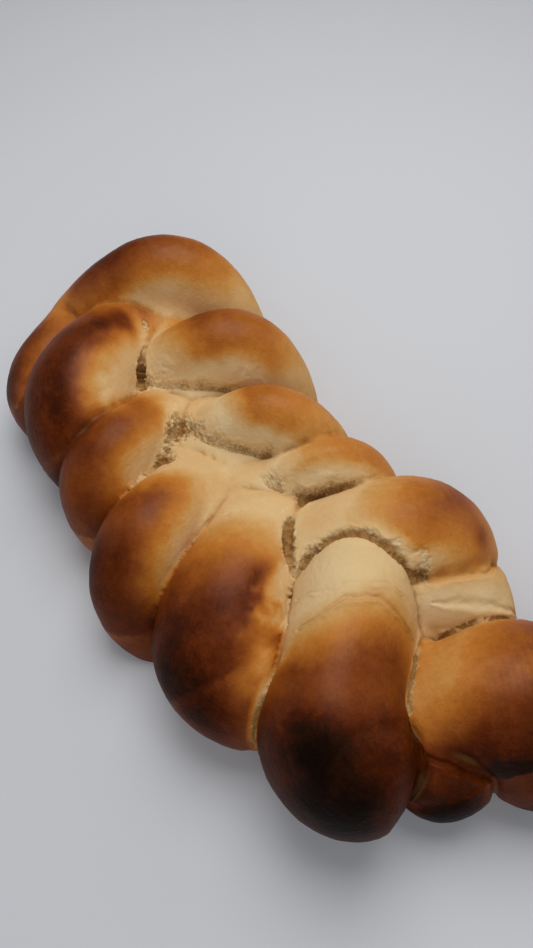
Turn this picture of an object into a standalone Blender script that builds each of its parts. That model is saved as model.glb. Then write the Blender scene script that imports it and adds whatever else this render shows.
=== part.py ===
"""A three-strand braided loaf, baked as one piece of bread.

The strands cross over one another along the loaf, so its top is two rows of
plump lobes. Each lobe is a swept tube: it starts low at the loaf's outer
edge, rises over the crest and dives under its neighbour near the middle.
Lengths are in metres, +X runs along the loaf, +Z is up, and it stands on z = 0.
"""

import math
from typing import NamedTuple

import bmesh
import bpy
import numpy as np
from mathutils import Matrix, Vector

MM = 0.001

NODE = "loaf"
CUTTER = "floor_cutter"

LOBE_START = -0.9
LOBE_STOP = 2.0
HALF_TURN = 3.0
CAP_SHARE = 0.18
ROOT_SINK = 2 * MM
LOBE_RINGS = 40
RING_SIDES = 40
LEAST_RADIUS = 0.4 * MM

PILLOW_SEGMENTS = 48

FLOOR_BLOCK = (0.6, 0.4, 0.1)

SKIN_VOXEL = 1.8 * MM
SKIN_SMOOTHING = 0.5
SKIN_PASSES = 3

PUFF_DEPTH = 0.5 * MM
PUFF_LENGTH = 26 * MM
TEAR_DEPTH = 0.9 * MM
TEAR_WIDTH = 5.0 * MM
TEAR_GRAIN = 13 * MM
TEAR_INNER = 34 * MM
TEAR_OUTER = 60 * MM
TEAR_LOW = 34 * MM
TEAR_HIGH = 44 * MM
TEAR_NEAR = 140 * MM
TEAR_FADE = 15 * MM
PATH_SAMPLES = 48
FLOOR_BAND = 6 * MM

MOST_TRIANGLES = 11400
CREASE_ANGLE = math.radians(55)

CRUST_COLOUR = (0.36, 0.15, 0.05, 1.0)
CRUST_ROUGHNESS = 0.42


class Lobe(NamedTuple):
    """One bulge of the braid; lengths in millimetres.

    side: 1 for the right flank (+Y), -1 for the left one.
    station: where the lobe's outer end lies along the loaf.
    reach: how far out from the middle its surface comes.
    crest: how high its top stands.
    girth: the radius of the strand at the outer end.
    advance: how far it slants towards the far end in each third of a turn.
    taper: the share of its girth left where it dives.
    swell: its width against its thickness.
    bow: how far its middle bulges towards the near end.
    start: the turn at which it begins, tucked under the loaf.
    """

    name: str
    side: int
    station: float
    reach: float
    crest: float
    girth: float
    advance: float
    taper: float = 0.75
    swell: float = 1.0
    bow: float = 0.0
    start: float = LOBE_START


LOBES = (
    Lobe("right_5", 1, 162, 69, 65, 30, 20, taper=0.62, swell=1.18, bow=2),
    Lobe("left_5", -1, 124, 77, 72, 36.5, 29, taper=1.02, swell=0.79, bow=7, start=-0.5),
    Lobe("shoulder", 1, 105, 75, 56, 24, 24, taper=0.78, swell=1.05),
    Lobe("right_4", 1, 82, 83, 70, 30, 24, taper=0.7, swell=1.06, bow=2),
    Lobe("left_4", -1, 65, 81, 64, 30, 24, taper=0.67, swell=1.1, bow=-2),
    Lobe("right_3", 1, 40, 71, 66, 20, 27, taper=0.65, swell=0.85, bow=2),
    Lobe("left_3", -1, 14, 88, 64, 19, 23, taper=0.75, swell=1.12),
    Lobe("right_2", 1, 14, 65, 73, 23, 36, taper=0.76, swell=0.84),
    Lobe("left_2", -1, -38, 79, 65, 23, 11, taper=0.76, swell=0.92, bow=-5),
    Lobe("right_1", 1, -41, 76, 75, 23, 31, taper=0.79, swell=0.98, bow=-1),
    Lobe("left_1", -1, -76, 76, 72, 32, 26, taper=0.87, swell=0.9, bow=-2),
    Lobe("right_0", 1, -97, 84, 78, 26, 33, taper=0.9, swell=0.9, bow=-6),
    Lobe("left_0", -1, -113, 72, 50, 25, 29, taper=0.7, swell=0.92),
    Lobe("near_tail", 1, 153, 20, 45, 22, 11, taper=0.6, swell=1.19, bow=4),
    Lobe("far_tail", -1, -138, 22, 38, 20, 9, taper=0.9, swell=1.15, bow=-3),
)


class Pillow(NamedTuple):
    """A rounded body of crumb; its centre and half sizes in millimetres."""

    name: str
    centre: tuple[float, float, float]
    half_sizes: tuple[float, float, float]


PILLOWS = (
    Pillow("belly", (8, -2, 12), (160, 60, 32)),
    Pillow("heart", (4, 2, 22), (150, 42, 25)),
    Pillow("near_end", (156, 32, 31), (25, 31, 31)),
    Pillow("near_gap", (144, -8, 22), (18, 24, 20)),
    Pillow("far_end", (-120, 24, 27), (42, 42, 29)),
)


def clear_scene():
    for obj in list(bpy.data.objects):
        bpy.data.objects.remove(obj, do_unlink=True)


def new_collection(name):
    made = bpy.data.collections.new(name)
    bpy.context.scene.collection.children.link(made)
    return made


def lobe_centre(lobe, turn):
    """The centre of the strand at this turn, and its radius there."""
    angle = math.pi * turn / HALF_TURN
    root = lobe.girth * MM - ROOT_SINK
    swing = (lobe.reach - lobe.girth) * MM
    lift = (lobe.crest - lobe.girth) * MM - root
    x = lobe.station - lobe.advance * turn + lobe.bow * math.sin(1.5 * angle)
    y = lobe.side * swing * math.cos(angle)
    z = root + lift * math.sin(2 * angle)
    share = min(max(turn / LOBE_STOP, 0.0), 1.0)
    easing = share * share * (3 - 2 * share)
    radius = lobe.girth * MM * (1 - (1 - lobe.taper) * easing)
    return Vector((x * MM, y, z)), radius


def cap_factor(share):
    """How much a ring shrinks near either end of its lobe, to round it."""
    start = min(share / CAP_SHARE, 1.0)
    stop = min((1 - share) / CAP_SHARE, 1.0)
    return math.sqrt(1 - (1 - start) ** 2) * math.sqrt(1 - (1 - stop) ** 2)


def lobe_turn(lobe, share):
    return lobe.start + (LOBE_STOP - lobe.start) * share


def ring_matrix(lobe, share):
    """Places a unit circle across the strand at this share of its length."""
    step = 0.01
    centre, radius = lobe_centre(lobe, lobe_turn(lobe, share))
    ahead, _ = lobe_centre(lobe, lobe_turn(lobe, share + step))
    behind, _ = lobe_centre(lobe, lobe_turn(lobe, share - step))
    along = (ahead - behind).normalized()
    across = along.cross(Vector((0, 0, 1))).normalized()
    up = across.cross(along)
    radius = max(radius * cap_factor(share), LEAST_RADIUS)
    turned = Matrix((across * radius * lobe.swell, up * radius, along)).transposed()
    return Matrix.Translation(centre) @ turned.to_4x4()


def add_lobe(mesh, lobe):
    """Sweeps one lobe from rings, bridges them and closes both ends."""
    rings = []
    for index in range(LOBE_RINGS):
        share = (index + 0.05) / (LOBE_RINGS - 0.9)
        made = bmesh.ops.create_circle(
            mesh,
            cap_ends=False,
            radius=1.0,
            segments=RING_SIDES,
            matrix=ring_matrix(lobe, share),
        )
        rings.append(made["verts"])
    edges = []
    for ring in rings:
        members = set(ring)
        found = {e for v in ring for e in v.link_edges if set(e.verts) <= members}
        edges.append(list(found))
    for first, second in zip(edges, edges[1:]):
        bmesh.ops.bridge_loops(mesh, edges=first + second)
    for end in (edges[0], edges[-1]):
        bmesh.ops.contextual_create(mesh, geom=end)


def add_pillow(mesh, pillow):
    """A rounded body under the crossings, which leaves no hollow between lobes."""
    place = Matrix.Translation(Vector(pillow.centre) * MM)
    sizes = Matrix.Diagonal(Vector(pillow.half_sizes) * MM).to_4x4()
    bmesh.ops.create_uvsphere(
        mesh,
        u_segments=PILLOW_SEGMENTS,
        v_segments=PILLOW_SEGMENTS // 2,
        radius=1.0,
        matrix=place @ sizes,
    )


def bread_material():
    made = bpy.data.materials.new("crust")
    made.use_nodes = True
    shader = made.node_tree.nodes["Principled BSDF"]
    shader.inputs["Base Color"].default_value = CRUST_COLOUR
    shader.inputs["Roughness"].default_value = CRUST_ROUGHNESS
    made.diffuse_color = CRUST_COLOUR
    return made


def raw_braid(collection):
    """All the lobes and pillows in one object, still passing through each other."""
    mesh = bmesh.new()
    for lobe in LOBES:
        add_lobe(mesh, lobe)
    for pillow in PILLOWS:
        add_pillow(mesh, pillow)
    bmesh.ops.recalc_face_normals(mesh, faces=mesh.faces[:])
    data = bpy.data.meshes.new(NODE)
    mesh.to_mesh(data)
    mesh.free()
    made = bpy.data.objects.new(NODE, data)
    collection.objects.link(made)
    return made


def bake_modifiers(obj):
    """Replaces the object's mesh by its evaluated one."""
    bpy.context.view_layer.update()
    graph = bpy.context.evaluated_depsgraph_get()
    made = bpy.data.meshes.new_from_object(obj.evaluated_get(graph))
    old = obj.data
    obj.modifiers.clear()
    obj.data = made
    bpy.data.meshes.remove(old)
    made.name = NODE


def fuse(obj):
    """Joins the crossing lobes into one skin."""
    remesh = obj.modifiers.new("one_skin", "REMESH")
    remesh.mode = "VOXEL"
    remesh.voxel_size = SKIN_VOXEL
    smooth = obj.modifiers.new("soften", "SMOOTH")
    smooth.factor = SKIN_SMOOTHING
    smooth.iterations = SKIN_PASSES
    bake_modifiers(obj)


def keep_outer_skin(obj):
    """Drops any sealed hollow that the crossings left inside."""
    mesh = bmesh.new()
    mesh.from_mesh(obj.data)
    left = set(mesh.verts)
    islands = []
    while left:
        seed = left.pop()
        island = {seed}
        edge_of_search = [seed]
        while edge_of_search:
            vert = edge_of_search.pop()
            for edge in vert.link_edges:
                other = edge.other_vert(vert)
                if other in left:
                    left.discard(other)
                    island.add(other)
                    edge_of_search.append(other)
        islands.append(island)
    outer = max(islands, key=len)
    inner = [v for island in islands if island is not outer for v in island]
    bmesh.ops.delete(mesh, geom=inner, context="VERTS")
    mesh.to_mesh(obj.data)
    mesh.free()


def lobe_distances(points):
    """For each point, its distance outside each lobe's surface."""
    found = []
    for lobe in LOBES:
        shares = np.linspace(0.06, 0.94, PATH_SAMPLES)
        nearest = np.full(len(points), np.inf)
        for share in shares:
            centre, radius = lobe_centre(lobe, lobe_turn(lobe, share))
            gap = np.linalg.norm(points - np.array(centre), axis=1)
            nearest = np.minimum(nearest, gap - radius * cap_factor(share))
        found.append(nearest)
    return np.array(found)


def waves(points, length, turn):
    """A smooth uneven field between about -1 and 1, made of crossed waves."""
    scale = 2 * math.pi / length
    x, y, z = (points * scale).T
    return (
        np.sin(0.91 * x + 0.37 * y + turn)
        + np.sin(-0.43 * x + 1.02 * y + 0.31 * z + 2.1 * turn)
        + np.sin(0.58 * z - 0.77 * y + 1.21 * x + 3.7 * turn)
    ) / 3


def roughen(obj):
    """Puffs the crust unevenly and tears the seams near the loaf's middle."""
    data = obj.data
    flat = np.empty(len(data.vertices) * 3)
    data.vertices.foreach_get("co", flat)
    points = flat.reshape(-1, 3)
    normals = np.empty(len(data.vertices) * 3)
    data.vertices.foreach_get("normal", normals)
    normals = normals.reshape(-1, 3)
    gaps = np.sort(lobe_distances(points), axis=0)
    seam = np.exp(-(((gaps[1] - gaps[0]) / TEAR_WIDTH) ** 2))
    side = np.abs(points[:, 1])
    middle = np.clip((TEAR_OUTER - side) / (TEAR_OUTER - TEAR_INNER), 0, 1)
    height = np.clip((points[:, 2] - TEAR_LOW) / (TEAR_HIGH - TEAR_LOW), 0, 1)
    ragged = waves(points, TEAR_GRAIN, 1.0) + waves(points, TEAR_GRAIN / 2, 2.0)
    ends = np.clip((TEAR_NEAR - np.abs(points[:, 0])) / TEAR_FADE, 0, 1)
    puffed = waves(points, PUFF_LENGTH, 0.5) * PUFF_DEPTH * (1 - seam)
    torn = seam * middle * height * ends * TEAR_DEPTH * (0.6 * ragged - 0.4)
    above = np.clip(points[:, 2] / FLOOR_BAND, 0, 1)
    points += normals * ((puffed + torn) * above)[:, None]
    data.vertices.foreach_set("co", points.ravel())
    data.update()


def floor_cutter(collection):
    """A block whose top is the floor, to cut the loaf's underside flat."""
    mesh = bmesh.new()
    x, y, z = FLOOR_BLOCK
    place = Matrix.Translation(Vector((0, 0, -z / 2)))
    sizes = Matrix.Diagonal(Vector((x, y, z))).to_4x4()
    bmesh.ops.create_cube(mesh, size=1.0, matrix=place @ sizes)
    data = bpy.data.meshes.new(CUTTER)
    mesh.to_mesh(data)
    mesh.free()
    made = bpy.data.objects.new(CUTTER, data)
    collection.objects.link(made)
    made.hide_render = True
    made.display_type = "WIRE"
    return made


def cut_base(obj, cutter):
    """Cuts the underside flat."""
    cut = obj.modifiers.new("flat_base", "BOOLEAN")
    cut.operation = "DIFFERENCE"
    cut.solver = "EXACT"
    cut.object = cutter
    bake_modifiers(obj)


def centre_on_base(obj):
    """Moves the origin to the middle of the base of the loaf's box."""
    flat = np.empty(len(obj.data.vertices) * 3)
    obj.data.vertices.foreach_get("co", flat)
    points = flat.reshape(-1, 3)
    low = points.min(axis=0)
    high = points.max(axis=0)
    points -= ((low[0] + high[0]) / 2, (low[1] + high[1]) / 2, low[2])
    obj.data.vertices.foreach_set("co", points.ravel())
    obj.data.update()


def thin_out(obj):
    """Keeps the shape in fewer triangles."""
    triangles = sum(len(face.vertices) - 2 for face in obj.data.polygons)
    thin = obj.modifiers.new("fewer_triangles", "DECIMATE")
    thin.decimate_type = "COLLAPSE"
    thin.ratio = MOST_TRIANGLES / triangles
    thin.use_collapse_triangulate = True
    bake_modifiers(obj)


def main():
    clear_scene()
    parts = new_collection("braided_loaf")
    cutters = new_collection("cutters")
    cutters.hide_render = True
    loaf = raw_braid(parts)
    fuse(loaf)
    keep_outer_skin(loaf)
    roughen(loaf)
    cut_base(loaf, floor_cutter(cutters))
    thin_out(loaf)
    centre_on_base(loaf)
    loaf.data.materials.clear()
    loaf.data.materials.append(bread_material())
    loaf.data.shade_smooth()
    loaf.data.set_sharp_from_angle(angle=CREASE_ANGLE)


main()
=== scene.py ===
"""The looks of a three-strand braided loaf.

The crust is one closed skin over crossing lobes of dough. It is brown and glossy
on the crowns, pale where the dough stretched out from under its neighbour while
it baked, and torn into rough crumb along the seams near the middle.
Shapes are worked out in millimetres and written to the meshes in metres.
"""

from __future__ import annotations

import logging
import math
from dataclasses import dataclass, field
from enum import Enum

import bmesh
import bpy
import numpy as np
from mathutils import Matrix, Vector, noise

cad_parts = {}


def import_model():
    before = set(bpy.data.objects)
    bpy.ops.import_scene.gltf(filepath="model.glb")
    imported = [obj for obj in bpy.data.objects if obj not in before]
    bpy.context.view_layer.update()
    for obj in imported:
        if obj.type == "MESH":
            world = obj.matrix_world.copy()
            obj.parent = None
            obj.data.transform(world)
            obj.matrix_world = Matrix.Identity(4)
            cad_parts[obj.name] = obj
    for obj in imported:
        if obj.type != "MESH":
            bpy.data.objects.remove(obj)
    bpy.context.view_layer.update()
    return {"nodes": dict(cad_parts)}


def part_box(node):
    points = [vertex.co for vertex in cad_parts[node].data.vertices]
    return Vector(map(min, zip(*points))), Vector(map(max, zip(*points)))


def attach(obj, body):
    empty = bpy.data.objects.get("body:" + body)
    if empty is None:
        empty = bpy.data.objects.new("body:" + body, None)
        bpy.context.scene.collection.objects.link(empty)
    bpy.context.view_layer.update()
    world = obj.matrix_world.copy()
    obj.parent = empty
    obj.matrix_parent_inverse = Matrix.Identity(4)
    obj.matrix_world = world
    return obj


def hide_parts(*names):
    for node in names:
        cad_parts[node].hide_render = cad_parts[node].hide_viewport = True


log = logging.getLogger("braided_loaf")

MM = 0.001
IMAGE_SIZE = (533, 948)


def smooth_step(low: float, high: float, value: np.ndarray) -> np.ndarray:
    """Rises softly from 0 at low to 1 at high; low may be the larger one."""
    share = np.clip((value - low) / (high - low), 0.0, 1.0)
    return share * share * (3 - 2 * share)


def grain(points: np.ndarray, length: float, seed: float, octaves: int = 1) -> np.ndarray:
    """Soft noise between about -1 and 1.

    Args:
        points: places in millimetres, one per row.
        length: size of the largest blotches in millimetres.
        seed: moves the pattern, so that each use has its own.
        octaves: how many finer layers are added.

    Returns:
        One value for each point.
    """
    shift = Vector((seed * 17.3, seed * 5.1, seed * 9.7))
    return np.array([noise.fractal(Vector(p) / length + shift, 1.0, 2.0, octaves) for p in points])


def unit_rows(vectors: np.ndarray) -> np.ndarray:
    """Scales each row to length 1."""
    return vectors / np.maximum(np.linalg.norm(vectors, axis=1, keepdims=True), 1e-9)


def spread(values: np.ndarray, edges: np.ndarray, passes: int) -> np.ndarray:
    """Evens out values over a mesh.

    Args:
        values: one row a vertex.
        edges: the two vertices of each edge.
        passes: how many times each vertex takes the mean of itself and its neighbours.

    Returns:
        The evened values.
    """
    first, second = edges.T
    count = 1.0 + np.bincount(edges.ravel(), minlength=len(values))
    for _ in range(passes):
        total = values.copy()
        np.add.at(total, first, values[second])
        np.add.at(total, second, values[first])
        values = total / count[:, None]
    return values


@dataclass(frozen=True)
class Browning:
    """How brown one lobe's skin is, from 0 for pale dough to 1 for dark brown.

    outer: at the outer end, low on the flank.
    waist: half way up to the crown.
    crown: on top of the lobe.
    shoulder: where it starts to dive.
    pale: on the stretched skin, at the dive and on the near side.
    skin_turn: the turn at which the brown skin ends towards the middle.
    near_angle: the angle from the top at which it ends on the near side.
    near_fade: half the angle over which it fades there.
    near_stop: the turn below which the near side is as brown as the rest.
    near_open: how many degrees further round it reaches per turn outwards.
    lean: how much sooner it pales on the far side, in turns at 60 degrees.
    near_burn: how much browner the near side is.
    lip: how far the brown skin's edge stands up, in millimetres.
    """

    outer: float
    waist: float
    crown: float
    shoulder: float
    pale: float
    skin_turn: float
    near_angle: float = 200.0
    near_fade: float = 20.0
    near_stop: float = 0.1
    near_open: float = 0.0
    lean: float = 0.0
    near_burn: float = 0.0
    lip: float = 0.0

    TURNS = (0.0, 0.5, 0.85, 1.06)

    def tone(self, turn: np.ndarray, angle: np.ndarray, fray: np.ndarray) -> tuple[np.ndarray, np.ndarray]:
        """How brown the skin is.

        Args:
            turn: the turn of each place on the lobe.
            angle: its angle from the top, positive towards the near end.
            fray: noise that makes the skin's edge ragged.

        Returns:
            The browning, and how much of it is unstretched skin.
        """
        leaning = turn - self.lean * angle / 60 + 0.03 * fray
        stops = (*self.TURNS, self.skin_turn)
        along = np.interp(leaning, stops, (self.outer, self.waist, self.crown, self.shoulder, self.pale))
        round_it = angle + 4 * fray - self.near_open * (1 - turn)
        near = smooth_step(self.near_angle - self.near_fade, self.near_angle + self.near_fade, round_it)
        near = near * smooth_step(self.near_stop - 0.25, self.near_stop + 0.25, turn)
        burnt = self.near_burn * smooth_step(-15, 65, angle)
        brown = along * (1 - near) + self.pale * near + burnt
        skin = (1 - near) * smooth_step(self.skin_turn, self.skin_turn - 0.12, leaning)
        return brown, skin


@dataclass(frozen=True)
class Lobe:
    """One bulge of the braid; lengths in millimetres.

    side: 1 for the right flank (+Y), -1 for the left one.
    station: where the lobe's outer end lies along the loaf.
    reach: how far out from the middle its surface comes.
    crest: how high its top stands.
    girth: the radius of the strand at the outer end.
    advance: how far it slants towards the far end in each third of a turn.
    taper: the share of its girth left where it dives.
    swell: its width against its thickness.
    bow: how far its middle bulges towards the near end.
    start: the turn at which it begins, tucked under the loaf.
    """

    name: str
    side: int
    station: float
    reach: float
    crest: float
    girth: float
    advance: float
    taper: float
    swell: float
    bow: float
    browning: Browning
    start: float = -0.9

    STOP = 2.0
    HALF_TURN = 3.0
    CAP_SHARE = 0.18
    ROOT_SINK = 2.0

    def centre(self, turn: np.ndarray) -> np.ndarray:
        """The centre of the strand at each turn."""
        angle = math.pi * turn / self.HALF_TURN
        root = self.girth - self.ROOT_SINK
        lift = self.crest - self.girth - root
        x = self.station - self.advance * turn + self.bow * np.sin(1.5 * angle)
        y = self.side * (self.reach - self.girth) * np.cos(angle)
        z = root + lift * np.sin(2 * angle)
        return np.stack([x, y, z], axis=-1)

    def radius(self, turn: np.ndarray) -> np.ndarray:
        """The strand's radius at each turn, rounded off at both ends."""
        easing = smooth_step(0.0, self.STOP, turn)
        share = (turn - self.start) / (self.STOP - self.start)
        start = np.clip(share / self.CAP_SHARE, 0, 1)
        stop = np.clip((1 - share) / self.CAP_SHARE, 0, 1)
        caps = np.sqrt(np.maximum(1 - (1 - start) ** 2, 1e-6) * np.maximum(1 - (1 - stop) ** 2, 1e-6))
        return self.girth * (1 - (1 - self.taper) * easing) * caps

    def axes(self, turn: np.ndarray) -> tuple[np.ndarray, np.ndarray, np.ndarray, np.ndarray]:
        """The strand's own directions at each turn.

        Args:
            turn: the turns to read.

        Returns:
            Along, across and up, as rows of unit vectors, and millimetres per turn.
        """
        step = 0.01
        ahead = self.centre(turn + step) - self.centre(turn - step)
        speed = np.linalg.norm(ahead, axis=-1) / (2 * step)
        along = unit_rows(ahead)
        across = unit_rows(np.cross(along, (0.0, 0.0, 1.0)))
        return along, across, np.cross(across, along), speed


@dataclass(frozen=True)
class Pillow:
    """A rounded body of crumb; its centre and half sizes in millimetres."""

    name: str
    centre: tuple[float, float, float]
    half_sizes: tuple[float, float, float]


class Side(Enum):
    """A side of a lobe: towards the loaf's near end, the far end, or all round."""

    NEAR = 1
    FAR = -1
    ROUND = 0


@dataclass(frozen=True)
class Tear:
    """A seam where a lobe's skin tore away from its neighbours; lengths in millimetres.

    lobe: the lobe that tore.
    side: the side of it that tore.
    first: the turn at which the tear starts.
    last: the turn at which it ends.
    width: how far the torn band reaches from the seam.
    depth: how deep it is cut at the seam.
    halo: how much further the skin stayed pale.
    lip: how high its ragged edge stands.
    """

    lobe: str
    side: Side
    first: float
    last: float
    width: float
    depth: float
    halo: float = 3.0
    lip: float = 0.35

    def reach(self, turn: np.ndarray, angle: np.ndarray) -> np.ndarray:
        """How much of the tear there is at each place on the lobe, from 0 to 1."""
        share = smooth_step(self.first - 0.15, self.first + 0.2, turn)
        share = share * smooth_step(self.last + 0.15, self.last - 0.2, turn)
        if self.side is Side.ROUND:
            return share
        return share * smooth_step(-12, 24, angle * self.side.value)


@dataclass(frozen=True)
class Fold:
    """A line where the skin wrinkled; lengths in millimetres.

    route: the points that it follows, seen from above.
    half_width: half its width at the middle of the route.
    depth: how deep it is there.
    lip: how high its edges stand.
    lowest: no part of it lies lower than this.
    """

    name: str
    route: tuple[tuple[float, float], ...]
    half_width: float
    depth: float
    lip: float = 0.3
    lowest: float = 22.0


@dataclass(frozen=True)
class Pit:
    """A hole torn in the bottom of a seam; lengths in millimetres.

    centre: its middle seen from above.
    half_length: how far it reaches along the seam.
    half_width: how far it reaches up the lobes beside the seam.
    depth: how deep it is.
    lowest: no part of it lies lower than this.
    """

    name: str
    centre: tuple[float, float]
    half_length: float
    half_width: float
    depth: float
    lowest: float = 30.0


@dataclass(frozen=True)
class Scorch:
    """A patch that baked darker, or paler where amount is negative; in millimetres."""

    name: str
    centre: tuple[float, float, float]
    radii: tuple[float, float, float]
    amount: float


LOBES = (
    Lobe(
        "right_5", 1, 162, 69, 65, 30, 20, 0.62, 1.18, 2,
        Browning(
            0.95, 0.84, 0.7, 0.57, 0.44, 1.25,
            near_angle=66, near_fade=24, near_stop=-0.1, lean=0.33, near_burn=0.33,
        ),
    ),
    Lobe(
        "left_5", -1, 124, 77, 72, 36.5, 29, 1.02, 0.79, 7,
        Browning(
            1.0, 0.8, 0.8, 0.7, 0.1, 1.56,
            near_angle=82, near_fade=46, near_open=80, lean=0.34, near_burn=0.04, lip=0.3,
        ),
        start=-0.5,
    ),
    Lobe(
        "shoulder", 1, 105, 75, 56, 24, 24, 0.78, 1.05, 0,
        Browning(
            0.15, 0.45, 0.35, 0.12, 0.03, 1.3,
            near_angle=30, near_fade=19, near_stop=-0.1, near_open=-15, lean=0.33,
        ),
    ),
    Lobe(
        "right_4", 1, 82, 83, 70, 30, 24, 0.7, 1.06, 2,
        Browning(
            0.55, 0.77, 0.48, 0.28, 0.18, 1.1,
            near_angle=5, near_fade=12, near_stop=0.85, near_open=80, lean=0.3, near_burn=-0.4,
        ),
    ),
    Lobe(
        "left_4", -1, 65, 81, 64, 30, 24, 0.67, 1.1, -2,
        Browning(
            0.9, 0.97, 0.72, 0.5, 0.2, 1.4,
            near_angle=34, near_fade=9, near_stop=0.12, near_open=-28, lean=0.1, near_burn=-0.06, lip=0.4,
        ),
    ),
    Lobe(
        "right_3", 1, 40, 71, 66, 20, 27, 0.65, 0.85, 2,
        Browning(
            0.35, 0.56, 0.46, 0.04, 0.18, 1.2,
            near_angle=33, near_fade=18, near_stop=-0.4, near_open=-20, lean=0.12, near_burn=-0.15,
        ),
    ),
    Lobe(
        "left_3", -1, 14, 88, 64, 19, 23, 0.75, 1.12, 0,
        Browning(
            0.95, 0.91, 0.81, 0.4, 0.18, 1.16,
            near_angle=40, near_fade=54, near_stop=0.12, near_open=8, lean=0.14, near_burn=-0.08,
        ),
    ),
    Lobe(
        "right_2", 1, 14, 65, 73, 23, 36, 0.76, 0.84, 0,
        Browning(
            0.33, 0.48, 0.63, 0.06, 0.2, 1.23,
            near_angle=44, near_fade=11, near_stop=-0.2, near_open=8, lean=-0.08, near_burn=-0.1,
        ),
    ),
    Lobe(
        "left_2", -1, -38, 79, 65, 23, 11, 0.76, 0.92, -5,
        Browning(
            0.86, 0.89, 0.83, 0.64, 0.2, 1.32,
            near_angle=55, near_fade=40, near_stop=0.42, near_open=-14, near_burn=-0.18,
        ),
    ),
    Lobe(
        "right_1", 1, -41, 76, 75, 23, 31, 0.79, 0.98, -1,
        Browning(
            0.24, 0.64, 0.78, 0.39, 0.14, 1.2,
            near_angle=58, near_fade=21, near_stop=-0.2, near_open=-28, lean=-0.08, near_burn=-0.12,
        ),
    ),
    Lobe(
        "left_1", -1, -76, 76, 72, 32, 26, 0.87, 0.9, -2,
        Browning(
            0.9, 1.0, 0.94, 0.95, 0.03, 2.3,
            near_angle=29, near_fade=31, near_open=-17, lean=0.34, near_burn=0.12,
        ),
    ),
    Lobe(
        "right_0", 1, -97, 84, 78, 26, 33, 0.9, 0.9, -6,
        Browning(
            0.15, 0.65, 0.87, 0.98, 0.48, 1.87,
            near_angle=55, near_fade=17, near_stop=-0.2, near_open=-28, near_burn=-0.28,
        ),
    ),
    Lobe(
        "left_0", -1, -113, 72, 50, 25, 29, 0.7, 0.92, 0,
        Browning(
            1.03, 0.94, 1.1, 0.55, 0.6, 2.4,
            near_angle=-16, near_fade=23, near_stop=-0.28, near_open=6, lean=-0.22, near_burn=0.3,
        ),
    ),
    Lobe(
        "near_tail", 1, 153, 20, 45, 22, 11, 0.6, 1.19, 4,
        Browning(
            0.8, 1.0, 0.7, 0.66, 0.43, 1.8,
            near_angle=60, near_fade=25, near_stop=-0.28, near_open=-8, lean=-0.33, near_burn=0.45,
        ),
    ),
    Lobe(
        "far_tail", -1, -138, 22, 38, 20, 9, 0.9, 1.15, -3,
        Browning(0.9, 0.84, 0.8, 0.78, 0.75, 2.4),
    ),
)

PILLOWS = (
    Pillow("belly", (8, -2, 12), (160, 60, 32)),
    Pillow("heart", (4, 2, 22), (150, 42, 25)),
    Pillow("near_end", (156, 32, 31), (25, 31, 31)),
    Pillow("near_gap", (144, -8, 22), (18, 24, 20)),
    Pillow("far_end", (-120, 24, 27), (42, 42, 29)),
)

TEARS = (
    Tear("left_1", Side.NEAR, 0.85, 1.45, 3.0, 2.0),
    Tear("right_1", Side.NEAR, 0.4, 1.4, 7.0, 2.8),
    Tear("right_1", Side.ROUND, 1.2, 1.6, 3.0, 1.8),
    Tear("left_2", Side.NEAR, 0.8, 1.6, 4.5, 2.2),
    Tear("right_2", Side.NEAR, 0.65, 1.4, 7.5, 3.2),
    Tear("right_2", Side.ROUND, 1.2, 1.6, 4.0, 2.0),
    Tear("left_3", Side.NEAR, 1.1, 1.6, 2.0, 1.2),
    Tear("right_3", Side.NEAR, 0.55, 1.35, 7.0, 2.6),
    Tear("right_3", Side.ROUND, 1.2, 1.6, 3.4, 1.8),
    Tear("left_4", Side.NEAR, -0.6, 1.2, 1.0, 1.2, halo=2.6, lip=0.1),
    Tear("left_4", Side.ROUND, 1.2, 1.7, 3.6, 1.6),
    Tear("right_4", Side.NEAR, 0.4, 1.35, 5.5, 2.6),
    Tear("right_4", Side.ROUND, 1.25, 1.6, 4.0, 2.0),
    Tear("left_5", Side.NEAR, -0.1, 1.5, 2.4, 1.2, halo=1.4, lip=0.5),
    Tear("right_5", Side.FAR, 0.2, 1.2, 1.0, 0.6, halo=1.0),
)

FOLDS = (
    Fold("fourth_crease", ((91, 32), (97, 34), (100, 41), (108, 60), (107, 74)), 1.4, 1.8, 0.2),
    Fold("shoulder_line", ((104, 30), (111, 40), (117, 48), (128, 66)), 1.6, 0.7, 0.4),
    Fold("tail_crack", ((142, -17), (151, -13), (161, -7), (171, 2)), 1.4, 2.2, 0.5),
    Fold("upper_arc", ((69, -18), (77, -8), (83, 3), (90, 12), (95, 16)), 1.1, 0.5, 0.4),
    Fold("lower_arc", ((82, -27), (83, -15), (84, -7), (92, 5), (104, 9), (110, 10)), 1.3, 1.3, 0.9),
)

PITS = (
    Pit("first", (-82, -6), 9, 3.4, 2.0),
    Pit("small", (-103, 14), 4, 1.8, 2.0),
    Pit("second", (-40, -10), 10, 4.5, 3.6),
    Pit("second_low", (-31, -24), 7, 3.4, 2.8),
    Pit("third", (30, 20), 6, 2.4, 2.0),
    Pit("fourth", (46, -1), 9, 3.8, 1.7),
    Pit("corner", (94, 32), 4, 2.4, 3.4),
    Pit("last", (156, -30), 5, 1.8, 2.4),
)

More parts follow.
